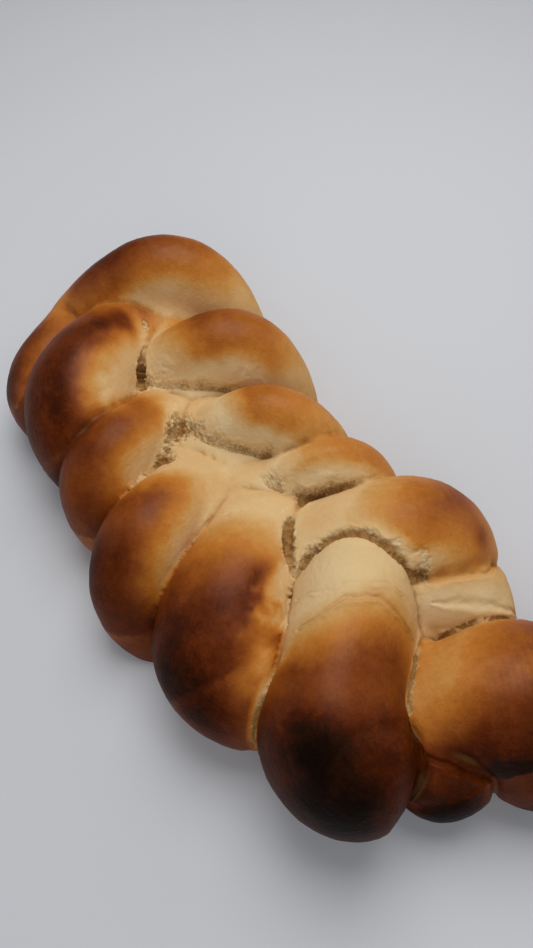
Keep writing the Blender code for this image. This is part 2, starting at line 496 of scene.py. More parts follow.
SCORCHES = (
    Scorch("left_5_patch", (122, -53, 68), (16, 12, 13), 0.3),
    Scorch("left_5_foot", (144, -56, 54), (15, 15, 15), 0.36),
    Scorch("left_4_low", (72, -76, 42), (22, 13, 18), 0.32),
    Scorch("left_4_strip", (84, -56, 50), (7, 8, 8), -0.22),
    Scorch("left_4_notch", (81, -44, 54), (7, 8, 7), -0.5),
    Scorch("left_4_top", (53, -25, 57), (8, 7, 7), 0.22),
    Scorch("left_3_edge", (0, -76, 42), (16, 12, 16), 0.1),
    Scorch("left_1_edge", (-68, -52, 60), (12, 12, 12), 0.1),
    Scorch("left_1_top", (-107, 8, 58), (10, 8, 10), 0.2),
    Scorch("left_1_dive", (-66, -29, 58), (11, 8, 9), -0.28),
    Scorch("tail_foot", (168, -14, 30), (14, 14, 12), 0.2),
    Scorch("shoulder_foot", (115, 51, 43), (9, 8, 8), -0.2),
    Scorch("right_4_spot", (95, 67, 52), (6, 6, 6), 0.26),
    Scorch("right_4_foot", (100, 73, 41), (9, 7, 10), 0.25),
    Scorch("right_1_foot", (-29, 56, 48), (10, 9, 10), -0.24),
    Scorch("right_0_side", (-91, 65, 57), (10, 10, 10), -0.16),
    Scorch("far_tip", (-156, -13, 41), (11, 10, 7), -0.3),
)


@dataclass
class Reading:
    """What the braid looks like near some points.

    distance: how far each point is outside the skin, in millimetres.
    outward: the direction away from the skin there.
    gaps: how far each point is outside each lobe, one row a lobe.
    turns: the turn of the nearest place on each lobe.
    angles: the angle round it from the top, positive towards the near end.
    speeds: millimetres per turn there.
    fill: how far each point is outside the pillows.
    """

    distance: np.ndarray
    outward: np.ndarray
    gaps: np.ndarray
    turns: np.ndarray
    angles: np.ndarray
    speeds: np.ndarray
    fill: np.ndarray

    def seam(self) -> np.ndarray:
        """How far each point is from the seam between the two nearest bodies."""
        ordered = np.partition(np.vstack((self.gaps, self.fill)), 1, axis=0)
        return ordered[1] - ordered[0]


@dataclass(frozen=True)
class BraidField:
    """The skin of all the lobes and pillows as one smooth distance."""

    lobes: tuple[Lobe, ...] = LOBES
    pillows: tuple[Pillow, ...] = PILLOWS
    samples: int = 64
    margin: float = 9.0
    far: float = 60.0
    crease: float = 1.6
    soft_crease: float = 1.6
    soft_fill: float = 6.0
    bend_blend: float = 8.0

    def read(self, points: np.ndarray) -> Reading:
        """Reads the braid near the points.

        Args:
            points: places in millimetres, one per row.

        Returns:
            The distances, directions and places on the lobes.
        """
        count = len(points)
        shape = (len(self.lobes), count)
        found = Reading(
            distance=np.full(count, self.far),
            outward=np.tile((0.0, 0.0, 1.0), (count, 1)),
            gaps=np.full(shape, self.far),
            turns=np.zeros(shape),
            angles=np.zeros(shape),
            speeds=np.ones(shape),
            fill=np.full(count, self.far),
        )
        middle = smooth_step(62, 30, np.abs(points[:, 1])) * smooth_step(30, 42, points[:, 2])
        blend = self.crease + (self.soft_crease - self.crease) * middle
        for row, lobe in enumerate(self.lobes):
            self._read_lobe(lobe, row, points, blend, found)
        for pillow in self.pillows:
            self._read_pillow(pillow, points, blend + self.soft_fill * middle, found)
        found.outward = unit_rows(found.outward)
        return found

    def _read_lobe(self, lobe: Lobe, row: int, points: np.ndarray, blend: np.ndarray, found: Reading) -> None:
        """Adds one lobe to the reading, softly where its two ends fold together."""
        turns = np.linspace(lobe.start + 0.02, lobe.STOP - 0.02, self.samples)
        centres = lobe.centre(turns)
        reach = lobe.girth * max(lobe.swell, 1.0) * max(lobe.taper, 1.0) + self.margin
        low = centres.min(axis=0) - reach
        high = centres.max(axis=0) + reach
        near = np.all((points > low) & (points < high), axis=1)
        chosen = points[near]
        if not len(chosen):
            return
        root = self._nearest(lobe, chosen, turns[turns < 0.02])
        crown = self._nearest(lobe, chosen, turns[turns > -0.03])
        apart = np.abs(root[1] - crown[1])
        width = 0.01 + self.bend_blend * np.clip(apart / 0.7, 0, 1)
        share = np.clip(0.5 + 0.5 * (root[0] - crown[0]) / width, 0, 1)
        gap, turn, angle, speed = (a * (1 - share) + b * share for a, b in zip(root[:4], crown[:4]))
        gap = gap - width * share * (1 - share)
        slope = root[4] * (1 - share)[:, None] + crown[4] * share[:, None]
        found.gaps[row, near] = gap
        found.turns[row, near] = turn
        found.angles[row, near] = angle
        found.speeds[row, near] = speed
        self._join(found, near, gap, unit_rows(slope), blend)

    @staticmethod
    def _nearest(lobe: Lobe, chosen: np.ndarray, turns: np.ndarray) -> tuple[np.ndarray, ...]:
        """Reads the points against one stretch of a lobe.

        Args:
            lobe: the lobe.
            chosen: places in millimetres, one per row.
            turns: the stretch's turns.

        Returns:
            How far outside the points are, the nearest turn, the angle there,
            the millimetres per turn and the direction away from the skin.
        """
        centres = lobe.centre(turns)
        squares = (chosen**2).sum(1)[:, None] - 2 * chosen @ centres.T + (centres**2).sum(1)[None]
        nearest = np.argmin(np.sqrt(np.maximum(squares, 0)) - lobe.radius(turns), axis=1)
        turn = turns[nearest]
        for _ in range(2):
            along, _, _, speed = lobe.axes(turn)
            ahead = ((chosen - lobe.centre(turn)) * along).sum(1) / speed
            turn = np.clip(turn + np.clip(ahead, -0.04, 0.04), turns[0], turns[-1])
        along, across, up, speed = lobe.axes(turn)
        offset = chosen - lobe.centre(turn)
        ahead = (offset * along).sum(1)
        sideways = (offset * across).sum(1)
        above = (offset * up).sum(1)
        size = np.maximum(np.sqrt((sideways / lobe.swell) ** 2 + above**2 + ahead**2), 1e-6)
        slope = along * ahead[:, None] + across * (sideways / lobe.swell**2)[:, None] + up * above[:, None]
        slope = slope / size[:, None]
        steepness = np.maximum(np.linalg.norm(slope, axis=1), 1e-6)
        gap = (size - lobe.radius(turn)) / steepness
        angle = np.degrees(np.arctan2(sideways / lobe.swell * np.sign(across[:, 0]), above))
        return gap, turn, angle, speed, slope / steepness[:, None]

    def _read_pillow(self, pillow: Pillow, points: np.ndarray, blend: np.ndarray, found: Reading) -> None:
        """Adds one pillow to the reading."""
        halves = np.array(pillow.half_sizes, float)
        scaled = (points - np.array(pillow.centre, float)) / halves
        size = np.linalg.norm(scaled, axis=1)
        slope = scaled / halves / np.maximum(size, 1e-6)[:, None]
        gap = (size - 1) / np.maximum(np.linalg.norm(slope, axis=1), 1e-6)
        everywhere = np.ones(len(points), bool)
        found.fill = np.minimum(found.fill, gap)
        self._join(found, everywhere, gap, unit_rows(slope), blend)

    @staticmethod
    def _join(found: Reading, near: np.ndarray, gap: np.ndarray, slope: np.ndarray, blend: np.ndarray) -> None:
        """Joins one more body to the skin, with a soft crease."""
        old = found.distance[near]
        width = blend[near]
        share = np.clip(0.5 + 0.5 * (old - gap) / width, 0, 1)
        found.distance[near] = old * (1 - share) + gap * share - width * share * (1 - share)
        old_slope = found.outward[near]
        found.outward[near] = old_slope * (1 - share)[:, None] + slope * share[:, None]

    def settle(self, points: np.ndarray, passes: int = 3) -> np.ndarray:
        """Moves the points onto the skin; those on the floor stay on it.

        Args:
            points: places in millimetres, one per row.
            passes: how many steps are taken.

        Returns:
            The moved points.
        """
        grounded = points[:, 2] < 0.01
        for _ in range(passes):
            found = self.read(points)
            move = found.outward * np.clip(found.distance, -2.5, 2.5)[:, None]
            flat = np.linalg.norm(found.outward[:, :2], axis=1)
            move[grounded, 2] = 0
            move[grounded] *= (flat[grounded] > 0.3)[:, None]
            points = points - move
            points[:, 2] = np.maximum(points[:, 2], 0.0)
        return points


def fold_place(fold: Fold, points: np.ndarray) -> tuple[np.ndarray, np.ndarray, np.ndarray]:
    """Where the points lie along a fold.

    Args:
        fold: the fold.
        points: places in millimetres, one per row.

    Returns:
        How far along the route each point is in millimetres, how far across it,
        and how wide the fold is there, 0 where the point is out of its reach.
    """
    route = np.array(fold.route, float)
    best = np.full(len(points), np.inf)
    along = np.zeros(len(points))
    across = np.zeros(len(points))
    done = 0.0
    for first, second in zip(route, route[1:]):
        step = second - first
        length = float(np.linalg.norm(step))
        step = step / length
        offset = points[:, :2] - first
        place = np.clip(offset @ step, 0, length)
        side = offset[:, 0] * step[1] - offset[:, 1] * step[0]
        apart = np.linalg.norm(offset - place[:, None] * step, axis=1)
        closer = apart < best
        best = np.where(closer, apart, best)
        along = np.where(closer, done + place, along)
        across = np.where(closer, np.where(side < 0, -apart, apart), across)
        done += length
    ends = np.clip(np.sin(math.pi * np.clip((along + 1.5) / (done + 3.0), 0, 1)), 0.02, 1)
    width = fold.half_width * np.sqrt(ends)
    return along, across, np.where(points[:, 2] > fold.lowest, width, 0.0)


def pit_share(pit: Pit, points: np.ndarray, seam: np.ndarray) -> np.ndarray:
    """How far into a pit each point is, 1 at its middle and 0 past its rim.

    Args:
        pit: the pit.
        points: places in millimetres, one per row.
        seam: how far each of them is from the nearest seam.

    Returns:
        The shares, one a point.
    """
    along = np.linalg.norm(points[:, :2] - np.array(pit.centre, float), axis=1) / pit.half_length
    apart = np.hypot(along, seam / pit.half_width)
    return np.clip(1.3 - apart, 0, 1) * (points[:, 2] > pit.lowest)


@dataclass
class SkinMarks:
    """What is painted on the skin and how far it is pushed out, one value a vertex.

    brown: how brown it baked, from 0 to about 1.3.
    crumb: 1 where it is torn.
    depth: how far down in a tear it lies, 1 at the bottom; the crumb's colour is painted darker there as
    shade.
    crease: 1 in the bottom of a seam between two lobes; it sinks the skin there, and the crust's colour is
    painted darker along it as shade.
    along: the place along the strand, in millimetres.
    around: the place round the strand, in millimetres.
    push: how far it stands out along its normal, in millimetres.
    """

    brown: np.ndarray
    crumb: np.ndarray
    depth: np.ndarray
    crease: np.ndarray
    along: np.ndarray
    around: np.ndarray
    push: np.ndarray

    PAINTED = ("brown", "crumb", "depth", "crease", "along", "around")


@dataclass(frozen=True)
class Baking:
    """How the loaf swelled, browned and tore in the oven; lengths in millimetres."""

    tears: tuple[Tear, ...] = TEARS
    folds: tuple[Fold, ...] = FOLDS
    pits: tuple[Pit, ...] = PITS
    scorches: tuple[Scorch, ...] = SCORCHES
    puff: float = 0.5
    puff_length: float = 26.0
    dimple: float = 0.14
    dimple_length: float = 7.0
    owner_blur: float = 0.6
    crease_width: float = 1.7
    groove: float = 1.5
    torn_gap: float = 3.2
    halo_tone: float = 0.14
    foot_tone: float = 0.6
    foot_top: float = 44.0

    def torn_places(
        self, found: Reading, lobes: tuple[Lobe, ...]
    ) -> list[tuple[Tear, np.ndarray, np.ndarray]]:
        """Where each tear may lie.

        Args:
            found: the braid's reading.
            lobes: the lobes that the reading is of.

        Returns:
            Each tear with its share at every point and the distance to the seam.
        """
        names = [lobe.name for lobe in lobes]
        places = []
        for tear in self.tears:
            row = names.index(tear.lobe)
            others = np.minimum(np.delete(found.gaps, row, axis=0).min(axis=0), found.fill)
            own = smooth_step(self.torn_gap, self.torn_gap / 3, found.gaps[row])
            share = own * tear.reach(found.turns[row], found.angles[row])
            places.append((tear, share, np.maximum(others, 0)))
        return places

    def mark(self, points: np.ndarray, found: Reading, lobes: tuple[Lobe, ...]) -> SkinMarks:
        """Works out browning and relief at each point of the skin.

        Args:
            points: places on the skin in millimetres, one per row.
            found: the braid's reading at those points.
            lobes: the lobes that the reading is of.

        Returns:
            The marks, one value a point.
        """
        fray = grain(points, 6.0, 2.0, 3)
        brown, step = self._brown(found, lobes, fray)
        brown = brown + 0.04 * grain(points, 22.0, 1.0, 3)
        for scorch in self.scorches:
            apart = (points - np.array(scorch.centre, float)) / np.array(scorch.radii, float)
            near = np.exp(-(np.linalg.norm(apart, axis=1) ** 2) + 0.25 * fray)
            brown = brown + scorch.amount * np.clip(near, 0, 1)
        brown = np.maximum(brown, self.foot_tone * smooth_step(self.foot_top, 8.0, points[:, 2]))
        # The crease mask sinks the skin along the seams; the material also paints shade along it.
        ordered = np.partition(found.gaps, 1, axis=0)
        crease = np.exp(-(((ordered[1] - ordered[0]) / self.crease_width) ** 2))
        crease = crease * np.clip(0.7 + 0.9 * grain(points, 14.0, 90.0, 2), 0.15, 1.0)
        crumb, depth, cut, halo = self._tear(points, found, lobes, fray)
        brown = brown + (self.halo_tone - brown) * halo
        calm = 1 - np.clip(crease + crumb, 0, 1)
        puffed = self.puff * grain(points, self.puff_length, 3.0, 2)
        dimpled = self.dimple * grain(points, self.dimple_length, 4.0, 2)
        standing = smooth_step(0.0, 8.0, points[:, 2])
        push = (puffed + dimpled + step) * calm + cut + self._wrinkle(points) - self.groove * crease
        owner = np.argmin(found.gaps, axis=0)
        each = np.arange(len(points))
        along = found.turns[owner, each] * found.speeds[owner, each]
        girths = np.array([lobe.girth for lobe in lobes], float)
        around = np.radians(found.angles[owner, each]) * girths[owner]
        return SkinMarks(brown, crumb, depth, crease, along + 40.0 * owner, around, push * standing)

    def _brown(
        self, found: Reading, lobes: tuple[Lobe, ...], fray: np.ndarray
    ) -> tuple[np.ndarray, np.ndarray]:
        """The browning and the raised edge of the brown skin, blended where lobes meet."""
        total = np.full(len(fray), 1e-9)
        brown = np.zeros(len(fray))
        step = np.zeros(len(fray))
        for row, lobe in enumerate(lobes):
            weight = np.exp(-np.clip(found.gaps[row], 0, 20) / self.owner_blur)
            tone, skin = lobe.browning.tone(found.turns[row], found.angles[row], fray)
            brown += weight * tone
            step += weight * lobe.browning.lip * (skin + 2 * skin * (1 - skin))
            total += weight
        return brown / total, step / total

    def _tear(
        self, points: np.ndarray, found: Reading, lobes: tuple[Lobe, ...], fray: np.ndarray
    ) -> tuple[np.ndarray, np.ndarray, np.ndarray, np.ndarray]:
        """How torn the skin is, how far down in the tear, how it is pushed and how pale beside it."""
        crumb = np.zeros(len(points))
        depth = np.zeros(len(points))
        cut = np.zeros(len(points))
        halo = np.zeros(len(points))
        threads = grain(points, 1.7, 10.0, 3)
        lumps = grain(points, 5.0, 30.0, 3)
        wander = grain(points, 11.0, 50.0, 2)
        for tear, share, apart in self.torn_places(found, lobes):
            width = tear.width * np.clip(1 + 0.8 * wander, 0.3, 1.9) * (0.3 + 0.7 * share)
            place = (apart + 1.2 * lumps + 0.8 * fray) / width
            opened = smooth_step(0.2, 0.6, share) * smooth_step(1.15, 0.6, place)
            deep = smooth_step(1.0, 0.1, place)
            edge = np.exp(-(((place - 1.15) / 0.35) ** 2))
            rough = 0.45 * deep + 0.35 * lumps * deep + 0.3 * threads
            crumb = np.maximum(crumb, opened)
            depth = np.maximum(depth, opened * deep)
            cut += share * tear.lip * edge * (1 + 1.2 * lumps) - opened * tear.depth * rough
            pale = share * smooth_step(tear.width + tear.halo + 1.5, 0.5 * tear.width, apart)
            halo = np.maximum(halo, pale)
        for pit in self.pits:
            near = pit_share(pit, points, found.seam())
            hole = smooth_step(0.0, 1.1, near + 0.35 * threads + 0.3 * lumps) * (near > 0)
            crumb = np.maximum(crumb, smooth_step(0.1, 0.4, hole))
            depth = np.maximum(depth, hole)
            cut -= pit.depth * hole * (1 + 0.5 * lumps + 0.3 * threads)
        return crumb, depth, cut, halo

    def _wrinkle(self, points: np.ndarray) -> np.ndarray:
        """How far the folds push the skin out."""
        push = np.zeros(len(points))
        sway = grain(points, 8.0, 70.0, 2)
        for fold in self.folds:
            _, across, width = fold_place(fold, points)
            reached = (width > 0) & (np.abs(across) < 5 * fold.half_width + 2)
            share = (across[reached] + 1.2 * sway[reached]) / width[reached]
            dip = np.exp(-(share**2))
            rim = np.exp(-((share - 1.6) ** 2))
            push[reached] += fold.lip * rim - fold.depth * dip
        return push


@dataclass
class Loaf:
    """The whole loaf's skin, built from its lobes."""

    braid: BraidField = field(default_factory=BraidField)
    baking: Baking = field(default_factory=Baking)
    voxel: float = 2.35
    rings: int = 40
    ring_sides: int = 40
    pillow_segments: int = 48
    fine_reach: float = 2.5
    seam_reach: float = 4.0
    seam_passes: int = 3
    tail_passes: int = 14
    flank_passes: int = 50
    name: str = "crust"

    def build(self, low: Vector, high: Vector) -> tuple[bpy.types.Object, Vector]:
        """Makes the loaf and fits it to the box of the plain solid.

        Args:
            low: the lowest corner of the plain solid in metres.
            high: its highest corner in metres.

        Returns:
            The loaf, and the shift in millimetres from the braid's frame to the solid's.
        """
        mesh = self._skin()
        self._settle(mesh)
        self._refine(mesh, 1)
        self._refine(mesh, 2)
        bmesh.ops.triangulate(mesh, faces=mesh.faces[:])
        data = bpy.data.meshes.new(self.name)
        mesh.to_mesh(data)
        mesh.free()
        shift = self._finish(data, low, high)
        made = bpy.data.objects.new(self.name, data)
        bpy.context.scene.collection.objects.link(made)
        log.info("%s: %d triangles", self.name, len(data.polygons))
        return made, shift

    def _add_lobe(self, mesh: bmesh.types.BMesh, lobe: Lobe) -> None:
        """Sweeps one lobe from rings, bridges them and closes both ends."""
        share = (np.arange(self.rings) + 0.05) / (self.rings - 0.9)
        turns = lobe.start + (lobe.STOP - lobe.start) * share
        centres = lobe.centre(turns)
        radii = np.maximum(lobe.radius(turns), 0.4)
        along, across, up, _ = lobe.axes(turns)
        loops = []
        for index in range(self.rings):
            sideways = Vector(across[index] * radii[index] * lobe.swell) * MM
            upwards = Vector(up[index] * radii[index]) * MM
            turned = Matrix((sideways, upwards, Vector(along[index]))).transposed().to_4x4()
            place = Matrix.Translation(Vector(centres[index]) * MM) @ turned
            ring = bmesh.ops.create_circle(mesh, radius=1.0, segments=self.ring_sides, matrix=place)
            members = set(ring["verts"])
            loops.append([e for v in members for e in v.link_edges if e.verts[0] is v])
        for first, second in zip(loops, loops[1:]):
            bmesh.ops.bridge_loops(mesh, edges=first + second)
        for end in (loops[0], loops[-1]):
            bmesh.ops.contextual_create(mesh, geom=end)

    def _add_pillow(self, mesh: bmesh.types.BMesh, pillow: Pillow) -> None:
        """Adds one rounded body of crumb."""
        place = Matrix.Translation(Vector(pillow.centre) * MM)
        sizes = Matrix.Diagonal(Vector(pillow.half_sizes) * MM).to_4x4()
        segments = self.pillow_segments
        bmesh.ops.create_uvsphere(
            mesh, u_segments=segments, v_segments=segments // 2, radius=1.0, matrix=place @ sizes
        )

    def _skin(self) -> bmesh.types.BMesh:
        """Fuses all the bodies into one closed skin that stands flat on the floor."""
        mesh = bmesh.new()
        for lobe in self.braid.lobes:
            self._add_lobe(mesh, lobe)
        for pillow in self.braid.pillows:
            self._add_pillow(mesh, pillow)
        bmesh.ops.recalc_face_normals(mesh, faces=mesh.faces[:])
        data = bpy.data.meshes.new("dough")
        mesh.to_mesh(data)
        mesh.free()
        dough = bpy.data.objects.new("dough", data)
        bpy.context.scene.collection.objects.link(dough)
        remesh = dough.modifiers.new("one_skin", "REMESH")
        remesh.mode = "VOXEL"
        remesh.voxel_size = self.voxel * MM
        bpy.context.view_layer.update()
        graph = bpy.context.evaluated_depsgraph_get()
        fused = bpy.data.meshes.new_from_object(dough.evaluated_get(graph))
        mesh = bmesh.new()
        mesh.from_mesh(fused)
        bpy.data.objects.remove(dough, do_unlink=True)
        bpy.data.meshes.remove(data)
        bpy.data.meshes.remove(fused)
        self._keep_outer_skin(mesh)
        floor = mesh.verts[:] + mesh.edges[:] + mesh.faces[:]
        bmesh.ops.bisect_plane(mesh, geom=floor, plane_co=(0, 0, 0), plane_no=(0, 0, 1), clear_inner=True)
        rim = [edge for edge in mesh.edges if edge.is_boundary]
        bmesh.ops.holes_fill(mesh, edges=rim, sides=0)
        return mesh

    @staticmethod
    def _keep_outer_skin(mesh: bmesh.types.BMesh) -> None:
        """Drops any sealed hollow left inside by the crossings."""
        left = set(mesh.verts)
        islands = []
        while left:
            search = [left.pop()]
            island = []
            while search:
                vert = search.pop()
                island.append(vert)
                for edge in vert.link_edges:
                    other = edge.other_vert(vert)
                    if other in left:
                        left.discard(other)
                        search.append(other)
            islands.append(island)
        outer = max(islands, key=len)
        inner = [vert for island in islands if island is not outer for vert in island]
        bmesh.ops.delete(mesh, geom=inner, context="VERTS")

    @staticmethod
    def _points(mesh: bmesh.types.BMesh) -> np.ndarray:
        """The mesh's places in millimetres."""
        return np.array([vert.co for vert in mesh.verts]) / MM

    def _settle(self, mesh: bmesh.types.BMesh) -> None:
        """Puts the mesh's vertices exactly on the braid's skin."""
        points = self.braid.settle(self._points(mesh))
        for vert, place in zip(mesh.verts, points):
            vert.co = Vector(place) * MM

    def _refine(self, mesh: bmesh.types.BMesh, level: int) -> None:
        """Splits the faces along the tears and folds, a little less wide each time.

        Args:
            mesh: the loaf's mesh.
            level: 1 for the first time, 2 for the second.
        """
        mesh.verts.index_update()
        points = self._points(mesh)
        found = self.braid.read(points)
        wanted = np.zeros(len(points), bool)
        for tear, share, apart in self.baking.torn_places(found, self.braid.lobes):
            wanted |= (share > 0.05) & (apart < tear.width * 1.5 + self.fine_reach / level)
        for fold in self.baking.folds:
            _, across, width = fold_place(fold, points)
            wanted |= (width > 0) & (np.abs(across) < 2 * width + self.fine_reach / level)
        for pit in self.baking.pits:
            wanted |= pit_share(pit, points, found.seam()) > 0
        if level == 1:
            wanted |= (found.seam() < self.seam_reach) & (points[:, 2] > 3.0)
        edges = [e for e in mesh.edges if wanted[e.verts[0].index] and wanted[e.verts[1].index]]
        bmesh.ops.subdivide_edges(mesh, edges=edges, cuts=1, use_grid_fill=True)
        self._settle(mesh)

    def _finish(self, data: bpy.types.Mesh, low: Vector, high: Vector) -> Vector:
        """Pushes out the relief, marks the skin and moves it to its place."""
        count = len(data.vertices)
        points = np.empty(count * 3)
        data.vertices.foreach_get("co", points)
        points = points.reshape(-1, 3) / MM
        found = self.braid.read(points)
        marks = self.baking.mark(points, found, self.braid.lobes)
        grounded = points[:, 2] < 0.01
        edges = np.empty(len(data.edges) * 2, np.int32)
        data.edges.foreach_get("vertices", edges)
        edges = edges.reshape(-1, 2)
        tail = smooth_step(-140, -150, points[:, 0]) * smooth_step(46, 38, points[:, 2])
        rounded = spread(points, edges, self.tail_passes)
        rounded[grounded, 2] = points[grounded, 2]
        points = points + (rounded - points) * tail[:, None]
        outward = unit_rows(spread(found.outward, edges, self.seam_passes))
        calm = spread(points, edges, self.seam_passes)
        share = np.clip(marks.crease * 2, 0, 1)[:, None] * (~grounded)[:, None]
        points = points * (1 - share) + calm * share
        moved = points + outward * (marks.push * (1 - tail))[:, None]
        moved[:, 2] = np.maximum(moved[:, 2], 0.0)
        moved[grounded] = points[grounded]
        lowest = moved.min(axis=0)
        highest = moved.max(axis=0)
        middle = (lowest + highest) / 2
        room = (np.array(high) - np.array(low)) / MM
        shrink = np.minimum(1.0, (room - 0.2) / (highest - lowest))
        target = (np.array(low) + np.array(high)) / 2 / MM
        placed = moved.copy()
        placed[:, :2] = (moved[:, :2] - middle[:2]) * shrink[:2] + target[:2]
        placed[:, 2] = moved[:, 2] * shrink[2]
        data.vertices.foreach_set("co", (placed * MM).ravel())
        blur = np.clip(marks.crease * 2, 0, 1) * (1 - marks.crumb)
        even = spread(marks.brown[:, None], edges, self.seam_passes)[:, 0]
        marks.brown = marks.brown * (1 - blur) + even * blur
        hidden = smooth_step(30, 45, points[:, 1]) + smooth_step(-125, -140, points[:, 0])
        hidden = np.clip(hidden, 0, 1) * smooth_step(54, 42, points[:, 2])
        even = spread(marks.brown[:, None], edges, self.flank_passes)[:, 0]
        marks.brown = marks.brown * (1 - hidden) + even * hidden
        for label in SkinMarks.PAINTED:
            made = data.attributes.new(label, "FLOAT", "POINT")
            made.data.foreach_set("value", getattr(marks, label).astype(np.float32))
        data.update()
        data.shade_smooth()
        data.set_sharp_from_angle(angle=math.radians(75))
        return Vector((target[0] - middle[0], target[1] - middle[1], 0.0))


Colour = tuple[float, float, float]


def linear(red: float, green: float, blue: float) -> Colour:
    """Turns a colour from 0 to 255 as seen on a screen into light amounts."""

    def one(value: float) -> float:
        share = value / 255
        return share / 12.92 if share <= 0.04045 else ((share + 0.055) / 1.055) ** 2.4

    return one(red), one(green), one(blue)


class Math(Enum):
    """The sums that a material uses."""

    ADD = "ADD"
    SUBTRACT = "SUBTRACT"
    MULTIPLY = "MULTIPLY"
    DIVIDE = "DIVIDE"
    POWER = "POWER"


class Value:
    """A number that varies over a surface, with the usual arithmetic."""

    def __init__(self, graph: "Graph", socket: bpy.types.NodeSocket) -> None:
        """Wraps one output of a node."""
        self.graph = graph
        self.socket = socket

    def _sum(self, kind: Math, first: object, second: object) -> "Value":
        """Adds one Math node."""
        node = self.graph.add("ShaderNodeMath", {"operation": kind.value}, {0: first, 1: second})
        return Value(self.graph, node.outputs[0])

    def __add__(self, other: object) -> "Value":
        """This plus other."""
        return self._sum(Math.ADD, self, other)

    def __radd__(self, other: object) -> "Value":
        """Other plus this."""
        return self._sum(Math.ADD, other, self)

    def __sub__(self, other: object) -> "Value":
        """This less other."""
        return self._sum(Math.SUBTRACT, self, other)

    def __rsub__(self, other: object) -> "Value":
        """Other less this."""
        return self._sum(Math.SUBTRACT, other, self)

    def __mul__(self, other: object) -> "Value":
        """This times other."""
        return self._sum(Math.MULTIPLY, self, other)

    def __rmul__(self, other: object) -> "Value":
        """Other times this."""
        return self._sum(Math.MULTIPLY, other, self)

    def __truediv__(self, other: object) -> "Value":
        """This divided by other."""
        return self._sum(Math.DIVIDE, self, other)


class Graph:
    """The nodes of one material."""

    def __init__(self, name: str) -> None:
        """Starts a material with a Principled shader."""
        self.material = bpy.data.materials.new(name)
        self.material.use_nodes = True
        self.tree = self.material.node_tree
        self.shader = self.tree.nodes["Principled BSDF"]

    def add(self, kind: str, settings: dict[str, object], inputs: dict[object, object]) -> bpy.types.Node:
        """Adds one node.

        Args:
            kind: the node's type.
            settings: its own properties, set first.
            inputs: what goes into its sockets, by name or number.

        Returns:
            The node.
        """
        node = self.tree.nodes.new(kind)
        for key, value in settings.items():
            setattr(node, key, value)
        for key, value in inputs.items():
            self.feed(node, key, value)
        return node

    def feed(self, node: bpy.types.Node, key: object, value: object) -> None:
        """Links or sets one socket of a node."""
        socket = node.inputs[key]
        if isinstance(value, Value):
            self.tree.links.new(value.socket, socket)
        elif isinstance(value, tuple) and len(value) == 3 and socket.type == "RGBA":
            socket.default_value = (*value, 1.0)
        else:
            socket.default_value = value

    def place(self) -> Value:
        """The place on the piece, in metres."""
        node = self.add("ShaderNodeTexCoord", {}, {})
        return Value(self, node.outputs["Object"])

    def painted(self, label: str) -> Value:
        """A value painted on the mesh."""
        node = self.add("ShaderNodeAttribute", {"attribute_name": label}, {})
        return Value(self, node.outputs["Fac"])

    def joined(self, first: object, second: object, third: object) -> Value:
        """Makes a place of three numbers."""
        node = self.add("ShaderNodeCombineXYZ", {}, {0: first, 1: second, 2: third})
        return Value(self, node.outputs[0])

    def speckle(self, place: Value, length: float, detail: float, roughness: float = 0.55) -> Value:
        """Soft noise from -0.5 to 0.5 with blotches of this length in millimetres."""
        inputs = {"Vector": place, "Scale": 1 / (length * MM), "Detail": detail, "Roughness": roughness}
        node = self.add("ShaderNodeTexNoise", {"noise_dimensions": "3D"}, inputs)
        return Value(self, node.outputs[0]) - 0.5

    def fade(self, value: Value, low: float, high: float) -> Value:
        """Rises softly from 0 at low to 1 at high."""
        settings = {"interpolation_type": "SMOOTHSTEP"}
        node = self.add("ShaderNodeMapRange", settings, {"Value": value, "From Min": low, "From Max": high})
        return Value(self, node.outputs[0])

    def ramp(self, value: Value, stops: tuple[tuple[float, Colour], ...]) -> Value:
        """Reads a colour from a row of stops."""
        node = self.add("ShaderNodeValToRGB", {}, {"Fac": value})
        elements = node.color_ramp.elements
        while len(elements) < len(stops):
            elements.new(0.5)
        for element, (position, colour) in zip(elements, stops):
            element.position = position
            element.color = (*colour, 1.0)
        return Value(self, node.outputs[0])

    def mix(self, share: object, first: object, second: object) -> Value:
        """Mixes two colours."""
        node = self.add("ShaderNodeMix", {"data_type": "RGBA"}, {0: share, 6: first, 7: second})
        return Value(self, node.outputs[2])

    def bump(self, height: Value, distance: float, strength: float = 1.0) -> Value:
        """Fine relief of this height in millimetres."""
        node = self.add(
            "ShaderNodeBump", {}, {"Height": height, "Distance": distance * MM, "Strength": strength}
        )
        return Value(self, node.outputs[0])


